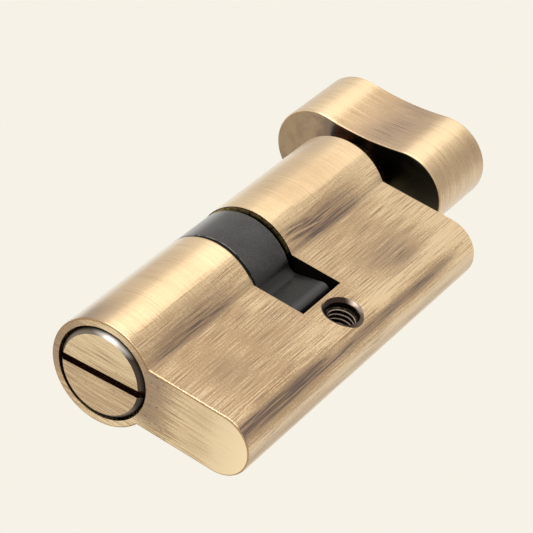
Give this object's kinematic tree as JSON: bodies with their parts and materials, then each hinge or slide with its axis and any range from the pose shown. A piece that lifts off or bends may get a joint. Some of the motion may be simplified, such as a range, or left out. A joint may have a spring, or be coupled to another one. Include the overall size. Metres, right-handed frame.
{
  "type": "lock cylinder",
  "caption": "Euro-profile lock cylinder with a waisted oval thumbturn, a coin-slot release plug, a cam in the middle and a cross hole for its fixing screw.",
  "frame": {"origin": "centre of the fixing screw hole, at the middle of the leg's thickness and on the cam slot's centre plane", "axes": "+Y along the barrel from the coin end to the thumbturn, +Z from the leg up to the barrel, +X through the leg's thickness along the fixing screw hole"},
  "size_m": [0.017, 0.0818, 0.0393],
  "materials": {
    "antique_brass": "brushed, antiqued and lacquered",
    "turned_brass": "turned, toned",
    "blackened_steel": "sintered steel, blackened, matte",
    "plain_steel": "satin"
  },
  "bodies": {
    "housing": {"housing": "antique_brass"},
    "rotor": {"release_plug": "antique_brass", "turn_spindle": "turned_brass", "cam": "blackened_steel", "coupling_bar": "plain_steel", "coupling_pin": "plain_steel", "release_washer": "plain_steel", "release_circlip": "plain_steel", "turn_washer": "plain_steel", "turn_circlip": "plain_steel", "thumbturn_knob": "antique_brass", "knob_grub_screw": "plain_steel", "detent_spring": "plain_steel"},
    "detent": {"detent_ball": "plain_steel"}
  },
  "joints": [
    {"name": "thumbturn_spin", "type": "hinge", "parent": "housing", "child": "rotor", "pos_m": [0, 0, 0.0191], "axis": [0, 1, 0], "continuous": true},
    {"name": "detent_travel", "type": "slide", "parent": "rotor", "child": "detent", "axis": [0.0767, 0, -0.9971], "range_m": [-0.0003, 0], "stiffness_N_per_m": 20, "springref_m": 0.004, "deforming": ["detent_spring"]}
  ]
}
